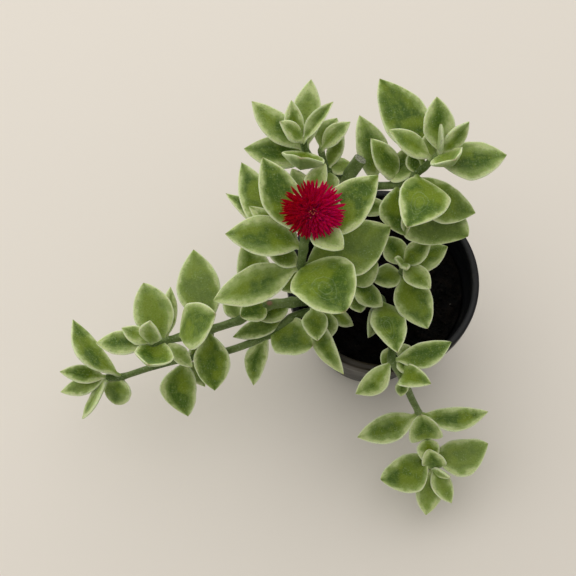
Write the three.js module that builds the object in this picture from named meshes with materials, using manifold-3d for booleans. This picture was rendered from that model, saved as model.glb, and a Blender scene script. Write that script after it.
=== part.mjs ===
// A heartleaf ice plant in a round plastic nursery pot: a sprawling succulent with pairs of fleshy
// heart-shaped leaves on thick stems, one crimson flower, and a main stem that was cut back.
// Millimetres, +Z up. The origin is the centre of the pot's flat underside.

import * as THREE from 'three';
import { mergeVertices } from 'three/addons/utils/BufferGeometryUtils.js';
import Module from 'manifold-3d';

const wasm = await Module();
wasm.setup();

// Pot, turned about its upright axis
const RIM_RADIUS = 32.5;
const POT_HEIGHT = 57;
const BASE_RADIUS = 22.5;
const WALL = 1.0;
const FLOOR = 1.4;
const RIM_INSIDE = 30.0;
const RIM_DEPTH = 5;
const WALL_TOP_RADIUS = 30.6;
const POT_SIDES = 44;
const DRAIN_COUNT = 5;
const DRAIN_RADIUS = 2.6;
const DRAIN_CIRCLE = 15.5;

// Soil
const SOIL_LEVEL = 46;
const CLEARANCE = 0.3;
const CLOD_HEIGHT = 0.7;

// Leaves: half thicknesses of the blade at its midrib and at its edge, and half the stalk's width
const MIDRIB_HALF = 0.95;
const EDGE_HALF = 0.35;
const STALK_HALF = 1.0;
const STALK_END = 0.06;
const RING_PLACES = [0, 0.14, 0.34, 0.6, 0.86];
const STEM_STEP = 4.6;

// Flower: centre of the disc, and the layers of petals from the lowest to the innermost
const FLOWER_CENTRE = new THREE.Vector3(-24.8, 1.2, 110.4);
const FLOWER_AXIS = new THREE.Vector3(-0.03, -0.46, 0.89).normalize();
const DISC_RADIUS = 3.4;
const DISC_HEIGHT = 1.9;
const PETAL_HALF_WIDTH = 0.42;
const PETAL_KEEL = 0.6;
const PETAL_LAYERS = [
  { count: 32, from: 2.7, reach: 9.8, lift: 4, start: 0 },
  { count: 28, from: 2.3, reach: 8.8, lift: 19, start: 5 },
  { count: 19, from: 1.3, reach: 6.6, lift: 38, start: 2 },
];
const STAMEN_COUNT = 7;
const STAMEN_LENGTH = 1.7;

const radians = THREE.MathUtils.degToRad;

// One closed skin over rings of points that run counter-clockwise about the direction of travel.
// It ends in a flat cap, or in a point where an apex is given. Both faces of a blade are split alike.
function loft(rings, apex) {
  const sides = rings[0].length;
  const points = rings.flat();
  const faces = [];
  for (let i = 0; i + 1 < rings.length; i++) {
    for (let j = 0; j < sides; j++) {
      const a = i * sides + j;
      const b = i * sides + ((j + 1) % sides);
      const c = b + sides;
      const d = a + sides;
      if (j % 3 === 2) faces.push(a, b, d, b, c, d);
      else faces.push(a, b, c, a, c, d);
    }
  }
  const last = (rings.length - 1) * sides;
  for (let j = 1; j + 1 < sides; j++) faces.push(0, j + 1, j);
  if (apex) {
    points.push(apex);
    for (let j = 0; j < sides; j++) faces.push(last + j, last + ((j + 1) % sides), points.length - 1);
  } else {
    for (let j = 1; j + 1 < sides; j++) faces.push(last, last + j, last + j + 1);
  }
  const geometry = new THREE.BufferGeometry().setFromPoints(points);
  geometry.setIndex(faces);
  return geometry;
}

function solid(geometry) {
  const bare = geometry.clone();
  bare.deleteAttribute('normal');
  bare.deleteAttribute('uv');
  const merged = mergeVertices(bare, 1e-4);
  const vertProperties = new Float32Array(merged.attributes.position.array);
  const triVerts = new Uint32Array(merged.index.array);
  return new wasm.Manifold(new wasm.Mesh({ numProp: 3, vertProperties, triVerts }));
}

function joined(solids) {
  return solids.reduce((whole, piece) => whole.add(piece));
}

function node(name, body, material) {
  const mesh = body.getMesh();
  const geometry = new THREE.BufferGeometry();
  geometry.setAttribute('position', new THREE.BufferAttribute(new Float32Array(mesh.vertProperties), 3));
  geometry.setIndex(new THREE.BufferAttribute(new Uint32Array(mesh.triVerts), 1));
  const object = new THREE.Mesh(geometry, material);
  object.name = name;
  return object;
}

// Half width of a leaf at a share of its length, as a share of half its full width: it swells by a
// quarter sine from the end of the stalk to the widest place and closes by a curve near an ellipse to
// the tip. Broad leaves swell faster, are widest nearer the stalk and end blunter, as a heart does.
function leafOutline(share, slenderness) {
  const broad = THREE.MathUtils.clamp((slenderness - 0.55) / 0.35, 0, 1);
  const widest = 0.49 - 0.08 * broad;
  if (share <= STALK_END) return 0;
  if (share < widest) {
    const swell = Math.sin((Math.PI / 2) * (share - STALK_END) / (widest - STALK_END));
    return swell ** (0.85 - 0.35 * broad);
  }
  return (1 - ((share - widest) / (1 - widest)) ** 2) ** (0.95 - 0.42 * broad);
}

// One leaf from its stalk to its tip. The heading turns it about the upright and the rise lifts its
// tip, the roll turns it about its own length, the sway bends its middle to the left, the arch lifts
// its middle and the cup lifts its edges.
function leaf(base, [heading, rise, length, width, sway = 0, roll = 0, arch = 0.03, cup = 0.12]) {
  const h = radians(heading);
  const r = radians(rise);
  const along = new THREE.Vector3(Math.cos(h) * Math.cos(r), Math.sin(h) * Math.cos(r), Math.sin(r));
  const left = new THREE.Vector3(-Math.sin(h), Math.cos(h), 0).applyAxisAngle(along, radians(roll));
  const up = along.clone().cross(left);
  const stalk = Math.min(STALK_HALF, 0.3 * width);
  const rings = RING_PLACES.map((s) => {
    const slope = Math.atan(arch * Math.PI * Math.cos(Math.PI * s));
    const normal = up.clone().multiplyScalar(Math.cos(slope)).addScaledVector(along, -Math.sin(slope));
    const middle = base.clone().addScaledVector(along, length * s);
    middle.addScaledVector(up, arch * length * Math.sin(Math.PI * s));
    middle.addScaledVector(left, sway * length * Math.sin(Math.PI * s));
    const half = Math.max(stalk * (1 - s), (width / 2) * leafOutline(s, width / length));
    const thick = EDGE_HALF + (MIDRIB_HALF - EDGE_HALF) * Math.sqrt(1 - s * s);
    const rim = cup * half;
    const place = (side, height) =>
      middle.clone().addScaledVector(left, side).addScaledVector(normal, height);
    return [
      place(half, rim - EDGE_HALF),
      place(half, rim + EDGE_HALF),
      place(0, thick),
      place(-half, rim + EDGE_HALF),
      place(-half, rim - EDGE_HALF),
      place(0, -thick),
    ];
  });
  return solid(loft(rings, base.clone().addScaledVector(along, length)));
}

// A tapered stem along a smooth curve through its points, from its thick end to its thin one. A bud
// closes a growing tip, and a cut end stays flat.
function stem(points, thick, thin, bud, extra = 0) {
  const curve = new THREE.CatmullRomCurve3(points, false, 'catmullrom', 0.5);
  const steps = Math.ceil(curve.getLength() / STEM_STEP);
  const sides = 6;
  const frames = curve.computeFrenetFrames(steps);
  const rings = [];
  for (let i = 0; i <= steps; i++) {
    const centre = curve.getPointAt(i / steps);
    const radius = THREE.MathUtils.lerp(thick, thin, i / steps) + extra;
    const ring = [];
    for (let j = 0; j < sides; j++) {
      const turn = (2 * Math.PI * j) / sides;
      ring.push(centre.clone()
        .addScaledVector(frames.normals[i], radius * Math.cos(turn))
        .addScaledVector(frames.binormals[i], radius * Math.sin(turn)));
    }
    rings.push(ring);
  }
  const end = points[points.length - 1].clone().addScaledVector(frames.tangents[steps], bud);
  return solid(loft(rings, bud ? end : undefined));
}

function vectors(rows) {
  return rows.map((row) => new THREE.Vector3(...row));
}

// A branch is the points of its stem, its thick and thin radii, and its leaves. Each leaf names the
// point that it grows from, then its heading, rise, length, width, sway, roll, arch and cup.
function branch({ points, thick, thin, bud = 1.2, leaves = [] }) {
  const places = vectors(points);
  const blades = leaves.map(([place, ...shape]) => leaf(places[place], shape));
  return joined([stem(places, thick, thin, bud), ...blades]);
}

// Flowering stem, which leans out over the left of the rim
const FLOWERING = [
  {
    points: [[-17, 2, 36], [-18, 0, 50], [-22, -5, 66], [-26.5, -8.5, 82], [-28, -8.5, 91],
      [-27.5, -5.5, 98], [-27, -3.5, 102], [-26, -0.5, 105.2], [-25, 3, 106.2]],
    thick: 1.7,
    thin: 1.2,
    bud: 0.5,
    leaves: [
      [4, -162, -13, 29, 12.3, 0.02],
      [4, -55, 26, 24, 19.6, 0.06, 0, 0.067],
      [4, 152, 8, 12, 7],
      [5, 171.5, 8, 23.5, 13, -0.06],
      [4, 24.7, 1.9, 30.1, 17.2, -0.05, 6],
      [5, 123, -2, 34.5, 12, 0.08],
      [5, 139.5, -9, 31.5, 7],
      [6, 120, 20, 26.5, 12.2, 0.03],
      [6, 37, 18, 28, 14, -0.05],
      [5, 141, 4, 21, 7],
      [7, -40, 5, 13, 9],
      [3, -165, -15, 9, 8],
    ],
  },
  {
    points: [[-27, -3.5, 102], [-26.5, 2, 102.5], [-26, 7, 104]],
    thick: 0.9,
    thin: 0.7,
    leaves: [
      [2, 64, 20, 12.4, 6.5, 0.06, 12],
      [2, 116, 10, 11.2, 6.5, 0, -12],
      [1, 40, 40, 12, 3.5, 0, 40],
    ],
  },
];

// Main stem, cut off short, with its two side branches
const PRUNED = [
  {
    points: [[-8, 17, 34], [-9, 18, 50], [-12, 19.5, 72], [-14, 20, 88], [-13.7, 20, 93], [-10, 23.2, 99.5]],
    thick: 2.4,
    thin: 2.1,
    bud: 0,
    leaves: [[2, -3, 0, 14, 7]],
  },
  {
    points: [[-14, 20, 91], [-20, 21.5, 95], [-24, 22.5, 100], [-26.5, 23.5, 104], [-27.5, 24.5, 108]],
    thick: 1.4,
    thin: 0.9,
    leaves: [
      [2, 168, -3, 22, 11],
      [3, 138, 10, 22.5, 9, 0.04],
      [3, 86, 16, 22, 9, 0.03],
      [3, -103, 55, 14, 13, 0, 0, -0.25, 0.4],
      [4, 46, 33, 15, 4.6, 0, 0, 0.03, 1.2],
      [4, 110, 37, 13, 6, 0.09],
      [4, 160, 48, 11, 6],
      [1, 26, -14, 8.5, 6.5],
      [1, -100, -10, 8.5, 9],
    ],
  },
  {
    points: [[-20, 21.5, 95], [-21, 23, 98], [-22, 24.7, 102]],
    thick: 1.1,
    thin: 0.9,
    leaves: [
      [2, 62, 20, 11, 7, 0.1],
      [2, 37, 30, 12.5, 6, 0.03, 0, 0.03, 0.4],
      [0, 65, 25, 13, 5],
    ],
  },
  {
    points: [[-14, 20, 89], [-6, 18, 91.5], [1.5, 17, 95], [6.5, 18.5, 99], [9, 19.5, 101.5],
      [11, 20.5, 104.5], [13, 21, 107]],
    thick: 1.4,
    thin: 0.9,
    leaves: [
      [1, 100, 15, 22.5, 10, -0.09],
      [2, 128, 33, 16.5, 8, -0.03],
      [2, -80, -24, 16, 10.5, -0.12],
      [3, -40.4, -30.6, 26.7, 18.7, -0.2, 19, -0.013, 0.07],
      [3, -101.3, 23.5, 23.9, 15.2, 0.154, -2],
      [3, 158, -28, 11, 8.5],
      [3, -26.3, -20.6, 22.8, 13, -0.17],
      [4, 115, 8, 31, 14.5, -0.04],
      [5, 158, 30, 17, 7.5],
      [5, 4, 0, 22.5, 12.6, -0.075],
      [6, 96, 32, 17, 9.5],
      [6, -60, 50, 9.5, 11, 0, 0, -0.2, 0.4],
      [6, 41, 38, 13, 6, 0, 40],
      [6, 100, 63, 11, 4, 0, 70],
      [2, 76, 22, 11.5, 6.5],
      [3, 96, 30, 7.5, 5.5],
      [5, 105, 25, 8, 5.5],
    ],
  },
];

// Upper one of the two stems that hang out over the left of the rim
const LEFT_UPPER = [
  {
    points: [[-19, -3.5, 34], [-19.5, -4, 48], [-24.5, -8.5, 58.5], [-31, -11, 64], [-39, -12.5, 65],
      [-48, -17, 64], [-57.5, -20, 63], [-67, -22.5, 63], [-71.5, -24, 64], [-75.5, -25.5, 66]],
    thick: 1.9,
    thin: 1.1,
    leaves: [
      [4, 111, 24, 22.5, 11.5],
      [3, -155, -17, 12, 8],
      [4, -150, 20, 10, 8.5],
      [5, 120, 15, 9, 6],
      [6, 102, 11, 27, 14.3, 0.03],
      [6, -86, -37, 21.5, 12],
      [7, 11, 53, 21.5, 15],
      [8, 112, 18, 20, 13, 0.02],
      [8, 88, -5, 19, 6, 0, 30],
      [8, -108, 44, 16, 12.5, -0.06, 0, -0.2, 0.3],
      [8, -40, -35, 13, 5.5],
      [9, 178, -6, 18.5, 8.5],
      [9, 157, 22, 11, 6],
      [9, 75, 75, 14, 7.5],
    ],
  },
];

// Lower one of the two
const LEFT_LOWER = [
  {
    points: [[-17, -9, 34], [-18, -10, 48], [-25, -12.5, 58.5], [-31, -15.5, 61], [-38, -20, 58],
      [-51.5, -24, 52.5], [-66, -25.5, 48], [-78.5, -28, 45], [-88.5, -31, 44], [-93, -31.5, 45]],
    thick: 1.5,
    thin: 1.0,
    leaves: [
      [4, -22, 20, 16, 13.5, 0.05],
      [3, -167, -19, 21, 7],
      [4, -112, -43, 20.5, 7.6, -0.09],
      [6, -91, -36, 21.3, 12.5, -0.14],
      [6, 45, 15, 13, 8, 0, 60],
      [6, -53, -55, 15, 5],
      [8, 132, 14, 25.5, 12, 0.22, 45],
      [8, -111, -45, 11.5, 10],
      [9, 177, 18, 16, 6.5],
      [9, -165, -10, 17, 6.5, 0.03],
      [9, -125, -24, 17, 8, 0.1, 48],
    ],
  },
];

// Stem that hangs over the front of the rim
const FRONT = [
  {
    points: [[1, -4, 34], [0.5, -5, 46], [-1, -7, 55], [1, -16, 58.5], [2, -25, 62], [1.5, -30, 62.5],
      [5.5, -34.5, 56], [9.3, -39, 46.5], [12.5, -42.5, 39], [16, -49, 30], [17.5, -54.5, 24], [18.5, -58, 21]],
    thick: 1.5,
    thin: 1.0,
    leaves: [
      [2, -82, 36, 29, 11.5],
      [2, -108, 4, 14.5, 7, 0, -40],
      [5, 16, 5, 20, 8.6, -0.09],
      [5, -17, -28, 9, 5.5],
      [5, -142, -35, 17.5, 8, 0.1],
      [6, -27, 46, 12.7, 7.8, 0, 8, 0.28, 0.45],
      [6, -95, -40, 6.5, 4.5],
      [8, -160, -8, 22.5, 10, 0.055],
      [8, 1, 2, 23.5, 8.5, -0.11],
      [9, 117, 56, 12, 11.6, -0.03, -24, 0.11, 0.5],
      [9, -82, -25, 9, 8],
      [10, 11, 5, 21, 13.3, -0.15],
      [10, -155, -6, 19, 13.5, 0.14],
      [11, 112, 61, 10.7, 8.6, -0.12, -24, 0.095, 0.19],
      [11, -97, -20, 17, 9.5],
      [11, -62, -4, 14, 7.5],
      [11, -40, 45, 10, 4, 0, 70],
      [4, -115, -30, 8, 5],
      [4, -30, -10, 9, 5.5],
    ],
  },
];

// Short shoot in the pot, right of the middle
const CENTRE_RIGHT = [
  {
    points: [[6, -1, 34], [6.5, -1, 50], [5.5, -1, 64], [5, -1, 72]],
    thick: 1.4,
    thin: 1.0,
    leaves: [
      [2, -68, 0, 20.5, 12.7, -0.03],
      [3, 119, 10, 10.5, 8.5],
      [3, 31, 45, 13.5, 7.5],
      [2, 28, 13, 17.5, 9.8, 0.03],
      [2, -163, 11, 10.5, 8.5],
      [3, -50, 18, 13, 8],
      [3, -175, 65, 8, 3.5],
      [3, -84, 60, 8, 3.5],
    ],
  },
];

// Short shoot at the left of the rim, under the flowering stem
const UNDER_LEFT = [
  {
    points: [[-15, -12, 34], [-16, -13, 48], [-19, -12, 58], [-24, -13, 65]],
    thick: 1.3,
    thin: 0.9,
    leaves: [
      [3, -84, 20, 13.5, 8.5],
      [2, -95, 12, 11.5, 8],
      [3, -64, -16, 24, 7.5, -0.065, 30],
      [2, -24, -22, 10.5, 5.5],
    ],
  },
];

// Short shoot near the middle of the pot
const MIDDLE = [
  {
    points: [[-9, -2, 34], [-9.5, -2.5, 48], [-10.5, -3.5, 57], [-11, -4.5, 63]],
    thick: 1.2,
    thin: 0.9,
    leaves: [
      [3, 34, 30, 11.5, 9],
      [3, -37, 0, 12.5, 8],
      [2, -76, 21, 11, 8.5],
    ],
  },
];

const STEMS = {
  stem_flowering: FLOWERING,
  stem_pruned: PRUNED,
  stem_left_upper: LEFT_UPPER,
  stem_left_lower: LEFT_LOWER,
  stem_front: FRONT,
  stem_centre_right: CENTRE_RIGHT,
  stem_under_left: UNDER_LEFT,
  stem_middle: MIDDLE,
};

// The pot's wall, floor and rim in one closed profile, with round drain holes through the floor
function pot() {
  const slope = (WALL_TOP_RADIUS - BASE_RADIUS) / (POT_HEIGHT - RIM_DEPTH);
  const profile = [
    [0, 0],
    [BASE_RADIUS - 0.8, 0],
    [BASE_RADIUS, 0.8],
    [WALL_TOP_RADIUS, POT_HEIGHT - RIM_DEPTH],
    [RIM_RADIUS - 0.4, POT_HEIGHT - RIM_DEPTH],
    [RIM_RADIUS, POT_HEIGHT - RIM_DEPTH + 0.5],
    [RIM_RADIUS, POT_HEIGHT - 0.6],
    [RIM_RADIUS - 0.6, POT_HEIGHT],
    [RIM_INSIDE + 0.4, POT_HEIGHT],
    [RIM_INSIDE, POT_HEIGHT - 0.5],
    [WALL_TOP_RADIUS - WALL, POT_HEIGHT - RIM_DEPTH - 1],
    [BASE_RADIUS - WALL + slope * FLOOR, FLOOR],
    [0, FLOOR],
  ];
  const shell = new THREE.LatheGeometry(profile.map(([r, z]) => new THREE.Vector2(r, z)), POT_SIDES);
  shell.rotateX(Math.PI / 2);
  let body = solid(shell);
  for (let i = 0; i < DRAIN_COUNT; i++) {
    const turn = (2 * Math.PI * i) / DRAIN_COUNT;
    const drain = new THREE.CylinderGeometry(DRAIN_RADIUS, DRAIN_RADIUS, 4 * FLOOR, 12);
    drain.rotateX(Math.PI / 2);
    drain.translate(DRAIN_CIRCLE * Math.cos(turn), DRAIN_CIRCLE * Math.sin(turn), FLOOR / 2);
    body = body.subtract(solid(drain));
  }
  return body;
}

// Height of the soil's lumpy top above its level: three crossing waves
function clods(x, y) {
  const waves = Math.sin(0.62 * x + 1.3) * Math.cos(0.55 * y) + 0.6 * Math.sin(0.35 * x - 0.8 * y);
  return CLOD_HEIGHT * (waves + 0.5 * Math.cos(1.1 * x + 0.9 * y));
}

// The soil fills the pot to its level, 0.3 mm clear of it, with a plain hole for each stem
function soil() {
  const slope = (WALL_TOP_RADIUS - BASE_RADIUS) / (POT_HEIGHT - RIM_DEPTH);
  const gap = WALL + CLEARANCE + 0.1;
  const bottom = FLOOR + CLEARANCE;
  const edge = BASE_RADIUS - gap + slope * SOIL_LEVEL;
  const tops = [edge, 0.8 * edge, 0.6 * edge, 0.4 * edge, 0.2 * edge, 0];
  const profile = [[0, bottom], [BASE_RADIUS - gap + slope * bottom, bottom], ...tops.map((r) => [r, SOIL_LEVEL])];
  const fill = new THREE.LatheGeometry(profile.map(([r, z]) => new THREE.Vector2(r, z)), 24);
  fill.rotateX(Math.PI / 2);
  const place = fill.attributes.position;
  for (let i = 0; i < place.count; i++) {
    const radius = Math.hypot(place.getX(i), place.getY(i));
    const inside = place.getZ(i) > SOIL_LEVEL - 1 && radius < edge - 1;
    if (inside) place.setZ(i, SOIL_LEVEL + clods(place.getX(i), place.getY(i)));
  }
  let body = solid(fill);
  for (const [main] of Object.values(STEMS)) {
    const places = vectors(main.points);
    places[0].z -= CLEARANCE;
    body = body.subtract(stem(places, main.thick, main.thin, 0, CLEARANCE));
  }
  return body;
}

// Two directions that lie across the flower's axis
function flowerSides() {
  const across = new THREE.Vector3(1, 0, 0).cross(FLOWER_AXIS).normalize();
  return [FLOWER_AXIS.clone().cross(across).negate(), across];
}

// A low turned body about the flower's axis: pairs of radius and height, from its foot to its top
function turned(profile, sides) {
  const shape = new THREE.LatheGeometry(profile.map(([r, z]) => new THREE.Vector2(r, z)), sides);
  shape.rotateX(Math.PI / 2);
  shape.applyQuaternion(new THREE.Quaternion().setFromUnitVectors(new THREE.Vector3(0, 0, 1), FLOWER_AXIS));
  shape.translate(FLOWER_CENTRE.x, FLOWER_CENTRE.y, FLOWER_CENTRE.z);
  return solid(shape);
}

// The green cup under the flower, which swells from the end of the stem
function cup() {
  return turned([[0, -5.4], [1.5, -5.2], [2.9, -3.4], [3.1, -1.6], [2.8, -CLEARANCE], [0, -CLEARANCE]], 12);
}

// A narrow three-sided petal, keeled below and pointed, from inside the disc outwards. Those towards
// the front are the shortest, and those at the sides the longest.
function petal(turn, lift, from, length) {
  const reach = length * (1 - 0.08 * Math.sin(turn)) * (1 - 0.07 * Math.sin(turn) ** 2);
  const [across, over] = flowerSides();
  const out = across.clone().multiplyScalar(Math.cos(turn)).addScaledVector(over, Math.sin(turn));
  const along = out.clone().multiplyScalar(Math.cos(lift)).addScaledVector(FLOWER_AXIS, Math.sin(lift));
  const left = FLOWER_AXIS.clone().cross(out);
  const normal = along.clone().cross(left);
  const foot = FLOWER_CENTRE.clone().addScaledVector(FLOWER_AXIS, 0.9);
  const rings = [[from, 0.5], [0.65 * reach, 1]].map(([distance, share]) => {
    const middle = foot.clone().addScaledVector(along, distance);
    return [
      middle.clone().addScaledVector(left, share * PETAL_HALF_WIDTH),
      middle.clone().addScaledVector(left, -share * PETAL_HALF_WIDTH),
      middle.clone().addScaledVector(normal, -PETAL_KEEL),
    ];
  });
  return solid(loft(rings, foot.clone().addScaledVector(along, reach)));
}

function petals() {
  const disc = turned([[0, 0], [DISC_RADIUS - 0.6, 0], [DISC_RADIUS, 0.8], [2.4, DISC_HEIGHT], [0, DISC_HEIGHT]], 12);
  const blades = PETAL_LAYERS.flatMap(({ count, from, reach, lift, start }) =>
    Array.from({ length: count }, (_, i) =>
      petal(radians(start) + (2 * Math.PI * i) / count, radians(lift), from, reach * (i % 2 ? 1 : 0.93))));
  return joined([disc, ...blades]);
}

// A tuft of short stamens on a small pad, standing just clear of the disc
function stamens() {
  const level = DISC_HEIGHT + CLEARANCE;
  const pad = turned([[0, level], [0.9, level], [0.7, level + 0.6], [0, level + 0.6]], 8);
  const [across, over] = flowerSides();
  const threads = Array.from({ length: STAMEN_COUNT }, (_, i) => {
    const turn = (2 * Math.PI * i) / STAMEN_COUNT;
    const out = across.clone().multiplyScalar(Math.cos(turn)).addScaledVector(over, Math.sin(turn));
    const left = FLOWER_AXIS.clone().cross(out);
    const foot = FLOWER_CENTRE.clone().addScaledVector(FLOWER_AXIS, level + 0.2).addScaledVector(out, 0.35);
    const along = FLOWER_AXIS.clone().addScaledVector(out, 0.45).normalize();
    const ring = [
      foot.clone().addScaledVector(left, 0.3),
      foot.clone().addScaledVector(out, 0.3),
      foot.clone().addScaledVector(left, -0.3),
    ];
    return solid(loft([ring.reverse()], foot.clone().addScaledVector(along, STAMEN_LENGTH)));
  });
  return joined([pad, ...threads]);
}

const plastic = new THREE.MeshStandardMaterial({ color: 0x1b1c1f, roughness: 0.45, metalness: 0 });
const earth = new THREE.MeshStandardMaterial({ color: 0x0c0a09, roughness: 0.95, metalness: 0 });
const greenery = new THREE.MeshStandardMaterial({ color: 0x64802f, roughness: 0.5, metalness: 0 });
const crimson = new THREE.MeshStandardMaterial({ color: 0xa00030, roughness: 0.6, metalness: 0 });
const pollen = new THREE.MeshStandardMaterial({ color: 0xd8745a, roughness: 0.7, metalness: 0 });

const plant = new THREE.Group();
plant.add(node('pot', pot(), plastic));
plant.add(node('soil', soil(), earth));
for (const [name, branches] of Object.entries(STEMS)) {
  const parts = branches.map(branch);
  if (name === 'stem_flowering') parts.push(cup());
  plant.add(node(name, joined(parts), greenery));
}
plant.add(node('flower_petals', petals(), crimson));
plant.add(node('flower_stamens', stamens(), pollen));

export default plant;
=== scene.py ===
"""A heartleaf ice plant in a round nursery pot: a sprawling succulent with fleshy, cream-edged leaves
and one crimson flower. Lengths in this script are millimetres, and MM turns them into metres."""

import bpy
import numpy as np
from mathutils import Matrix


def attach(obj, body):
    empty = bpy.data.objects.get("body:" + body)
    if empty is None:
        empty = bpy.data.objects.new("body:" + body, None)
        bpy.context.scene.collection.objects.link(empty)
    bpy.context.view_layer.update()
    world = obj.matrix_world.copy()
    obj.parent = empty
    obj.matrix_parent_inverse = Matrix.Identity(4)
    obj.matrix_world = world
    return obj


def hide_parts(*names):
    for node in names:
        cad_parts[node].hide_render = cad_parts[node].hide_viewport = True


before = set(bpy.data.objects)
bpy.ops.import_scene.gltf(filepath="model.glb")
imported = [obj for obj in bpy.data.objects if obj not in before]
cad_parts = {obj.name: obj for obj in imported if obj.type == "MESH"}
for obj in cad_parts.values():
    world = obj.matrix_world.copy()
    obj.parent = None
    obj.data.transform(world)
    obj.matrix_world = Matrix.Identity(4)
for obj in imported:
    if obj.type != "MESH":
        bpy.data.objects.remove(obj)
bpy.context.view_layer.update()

# Pot: one round nursery pot, injection-moulded in black polypropylene. The wall tapers down from a
# thick rim that stands out over it, and five drain holes go through the floor. The plastic is satin,
# with dust in its grain. A painted reflection of the pale floor makes it paler near its foot and
# browner on its front.
MM = 0.001
RIM_RADIUS = 32.5
RIM_INSIDE = 30.0
RIM_DEPTH = 5.0
POT_HEIGHT = 57.0
BASE_RADIUS = 22.5
WALL_TOP_RADIUS = 30.6
WALL = 1.0
FLOOR = 1.4
DRAIN_COUNT = 5
DRAIN_RADIUS = 2.6
DRAIN_CIRCLE = 15.5
FOOT_GROOVE = 20.0
GROOVE_DEPTH = 0.5
EDGE_ROUND = 0.3
RIM_ROUND = 0.9
POT_SIDES = 160
ROUND_STEPS = 5
# Painted reflection of the pale floor: it pales the wall below this height and browns the front.
REFLECTION_HEIGHT = 30.0
REFLECTING_FRONT = (-20.0, -30.0)
PLASTIC_BLACK = (0.0065, 0.0068, 0.0082)
# Dust, also the colour of the pale painted reflection low down; then the brown painted reflection.
DUST_AND_REFLECTION = (0.05, 0.045, 0.032)
FLOOR_REFLECTION_BROWN = (0.032, 0.022, 0.009)


def rounded(corners):
    """Points along an outline whose corners (radius, height, size) are rounded: each corner becomes a
    short parabola that leaves and meets its two sides at that distance from the corner."""
    corners = np.array(corners, float)
    spots = corners[:, :2]
    outline = [spots[:1]]
    share = np.linspace(0, 1, ROUND_STEPS)[:, None]
    for before, (spot, size), after in zip(spots, zip(spots[1:], corners[1:, 2]), spots[2:]):
        start = spot + (before - spot) * size / np.linalg.norm(before - spot)
        end = spot + (after - spot) * size / np.linalg.norm(after - spot)
        outline.append((1 - share) ** 2 * start + 2 * share * (1 - share) * spot + share ** 2 * end)
    outline.append(spots[-1:])
    return np.concatenate(outline)


def turned(outline, sides):
    """Rings about the upright axis: each outline point (r, z) gives r cos a, r sin a, z round the turn."""
    angle = 2 * np.pi * np.arange(sides) / sides
    radius, height = outline[:, :1], outline[:, 1:]
    return np.stack([radius * np.cos(angle), radius * np.sin(angle), height + 0 * angle], axis=-1)


def skin(rings):
    """One closed skin over a stack of rings: a quad between each pair of neighbours on neighbouring
    rings, and a fan of triangles from the first and the last ring to their middles."""
    count, around = rings.shape[:2]
    grid = np.arange(count * around).reshape(count, around)
    beside = np.roll(grid, -1, axis=1)
    quads = np.stack([grid[:-1], beside[:-1], beside[1:], grid[1:]], axis=-1).reshape(-1, 4)
    foot = np.full(around, count * around)
    fans = np.concatenate([
        np.stack([beside[0], grid[0], foot], axis=-1),
        np.stack([grid[-1], beside[-1], foot + 1], axis=-1),
    ])
    points = np.concatenate([rings.reshape(-1, 3), rings[:1].mean(axis=1), rings[-1:].mean(axis=1)])
    return {"points": points, "quads": quads, "fans": fans}


def gathered(parts):
    """Several skins as one: their points, faces and values end to end, with the faces counted on."""
    starts = np.cumsum([0] + [len(part["points"]) for part in parts[:-1]])
    values = set(parts[0]) - {"quads", "fans"}
    whole = {key: np.concatenate([part[key] for part in parts]) for key in values}
    for key in ("quads", "fans"):
        whole[key] = np.concatenate([part[key] + start for part, start in zip(parts, starts)])
    return whole


def placed(name, data):
    """A new object in the scene that shows this mesh, lamp or camera."""
    thing = bpy.data.objects.new(name, data)
    bpy.context.scene.collection.objects.link(thing)
    return thing


def piece(name, body, material, slot, *nodes):
    """A mesh object from one skin, in metres, with each further value of the skin as an attribute of its
    points. It rides on the plant's one body and stands for the named nodes."""
    mesh = bpy.data.meshes.new(name)
    corners = np.concatenate([body["quads"].ravel(), body["fans"].ravel()]).astype(np.int32)
    quad_starts = 4 * np.arange(len(body["quads"]))
    fan_starts = 4 * len(body["quads"]) + 3 * np.arange(len(body["fans"]))
    starts = np.concatenate([quad_starts, fan_starts]).astype(np.int32)
    mesh.vertices.add(len(body["points"]))
    mesh.vertices.foreach_set("co", (body["points"] * MM).astype(np.float32).ravel())
    mesh.loops.add(len(corners))
    mesh.loops.foreach_set("vertex_index", corners)
    mesh.polygons.add(len(starts))
    mesh.polygons.foreach_set("loop_start", starts)
    mesh.polygons.foreach_set("use_smooth", np.ones(len(starts), bool))
    mesh.update(calc_edges=True)
    for key in sorted(set(body) - {"points", "quads", "fans"}):
        values = body[key].astype(np.float32)
        kind, field = ("FLOAT_VECTOR", "vector") if values.ndim == 2 else ("FLOAT", "value")
        mesh.attributes.new(key, kind, "POINT").data.foreach_set(field, values.ravel())
    mesh.validate()
    mesh.materials.append(material)
    thing = placed(name, mesh)
    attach(thing, "root")
    if nodes:
        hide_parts(*nodes)
    return thing


def finish(name, constants):
    """A material with one Principled shader that has these constants, its node tree, and the shader."""
    material = bpy.data.materials.new(name)
    material.use_nodes = True
    shader = material.node_tree.nodes["Principled BSDF"]
    for socket, value in constants.items():
        shader.inputs[socket].default_value = value
    return material, material.node_tree, shader


def feed(tree, socket, value):
    """Gives a socket another socket's value, or a plain number or colour."""
    if isinstance(value, bpy.types.NodeSocket):
        tree.links.new(value, socket)
    elif isinstance(value, tuple):
        socket.default_value = (*value, 1.0)[:len(socket.default_value)]
    else:
        socket.default_value = value


def grain(tree, where, scale, detail):
    """Smooth noise from 0 to 1 at a place, with this many cells to the unit and octaves."""
    node = tree.nodes.new("ShaderNodeTexNoise")
    node.inputs["Scale"].default_value = scale
    node.inputs["Detail"].default_value = detail
    tree.links.new(where, node.inputs["Vector"])
    return node.outputs["Fac"]


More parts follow.
